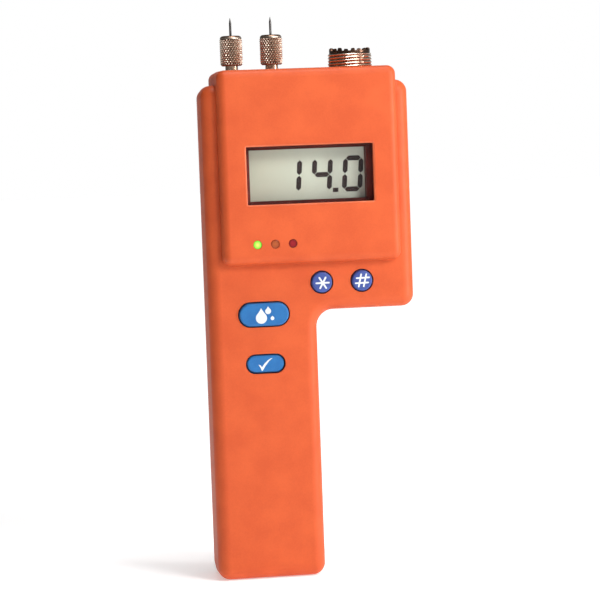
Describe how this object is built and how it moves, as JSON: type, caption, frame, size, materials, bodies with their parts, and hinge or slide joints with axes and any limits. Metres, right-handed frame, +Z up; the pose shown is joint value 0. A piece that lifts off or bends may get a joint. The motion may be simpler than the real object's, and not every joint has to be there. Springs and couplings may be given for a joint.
{
  "type": "grain moisture meter",
  "caption": "Hand-held pistol-shaped meter with a display head, sprung keys, two needle contacts in knurled chucks, a threaded coaxial socket and a hinged battery door.",
  "frame": {"origin": "middle of the whole meter's box at its lowest point, the foot of the handle", "axes": "+Z up the meter from the handle's foot to the contacts, -Y out of the face with the display and keys, +X to the right of someone facing the display"},
  "size_m": [0.0742, 0.0302, 0.1999],
  "materials": {
    "orange_plastic": "fine moulded grain",
    "blue_plastic": "satin",
    "violet_plastic": "satin",
    "black_plastic": "matte",
    "frame_plastic": "matte",
    "white_plastic": "satin",
    "foam": "open cell",
    "elastomer": "matte",
    "red_wire": "satin",
    "battery_can": "gloss",
    "clear_lens": "gloss",
    "lcd": "satin",
    "lcd_ink": "satin",
    "board_green": "solder mask",
    "component": "mixed",
    "steel": "zinc plated",
    "dark_steel": "ground",
    "brass_nickel": "nickel over brass, worn",
    "led_green": "lit",
    "led_amber": "unlit",
    "led_red": "unlit"
  },
  "bodies": {
    "case": {"front_shell": "orange_plastic", "rear_shell": "orange_plastic", "door_hinge_pin": "steel", "battery": "battery_can", "battery_pad": "foam", "battery_snap": "black_plastic", "battery_lead_red": "red_wire", "battery_lead_black": "black_plastic", "display_lens": "clear_lens", "lens_gasket": "black_plastic", "display_frame": "frame_plastic", "lcd_glass": "lcd", "lcd_segments": "lcd_ink", "zebra_strips": "elastomer", "circuit_board": "board_green", "microcontroller": "black_plastic", "board_components": "component", "board_screws": "steel", "tact_switches": "black_plastic", "case_screws": "steel", "led_green": "led_green", "led_amber": "led_amber", "led_red": "led_red", "led_spacers": "black_plastic", "left_pin_post": "brass_nickel", "right_pin_post": "brass_nickel", "left_contact_pin": "dark_steel", "right_contact_pin": "dark_steel", "post_insulators": "white_plastic", "post_nuts": "steel", "post_lugs": "brass_nickel", "pin_leads": "white_plastic", "connector_body": "brass_nickel", "connector_insulator": "white_plastic", "connector_contact": "brass_nickel", "connector_lead": "white_plastic"},
    "battery_cover": {"battery_door": "orange_plastic", "door_pad": "foam"},
    "moisture_button": {"moisture_key": "blue_plastic", "moisture_plunger": "black_plastic"},
    "check_button": {"check_key": "blue_plastic", "check_plunger": "black_plastic"},
    "star_button": {"star_key": "violet_plastic", "star_plunger": "black_plastic"},
    "hash_button": {"hash_key": "violet_plastic", "hash_plunger": "black_plastic"},
    "left_chuck": {"left_pin_chuck": "brass_nickel"},
    "right_chuck": {"right_pin_chuck": "brass_nickel"}
  },
  "joints": [
    {"name": "moisture_press", "type": "slide", "parent": "case", "child": "moisture_button", "axis": [0, 1, 0], "range_m": [0, 0.0008], "stiffness_N_per_m": 1500},
    {"name": "check_press", "type": "slide", "parent": "case", "child": "check_button", "axis": [0, 1, 0], "range_m": [0, 0.0008], "stiffness_N_per_m": 1500},
    {"name": "star_press", "type": "slide", "parent": "case", "child": "star_button", "axis": [0, 1, 0], "range_m": [0, 0.0008], "stiffness_N_per_m": 1500},
    {"name": "hash_press", "type": "slide", "parent": "case", "child": "hash_button", "axis": [0, 1, 0], "range_m": [0, 0.0008], "stiffness_N_per_m": 1500},
    {"name": "battery_door_hinge", "type": "hinge", "parent": "case", "child": "battery_cover", "pos_m": [-0.01775, 0.0134, 0.0069], "axis": [-1, 0, 0], "range_deg": [0, 85]},
    {"name": "left_chuck_turn", "type": "hinge", "parent": "case", "child": "left_chuck", "pos_m": [-0.02445, 0.0009, 0.1861], "axis": [0, 0, 1], "continuous": true},
    {"name": "right_chuck_turn", "type": "hinge", "parent": "case", "child": "right_chuck", "pos_m": [-0.01005, 0.0009, 0.1861], "axis": [0, 0, 1], "continuous": true}
  ]
}
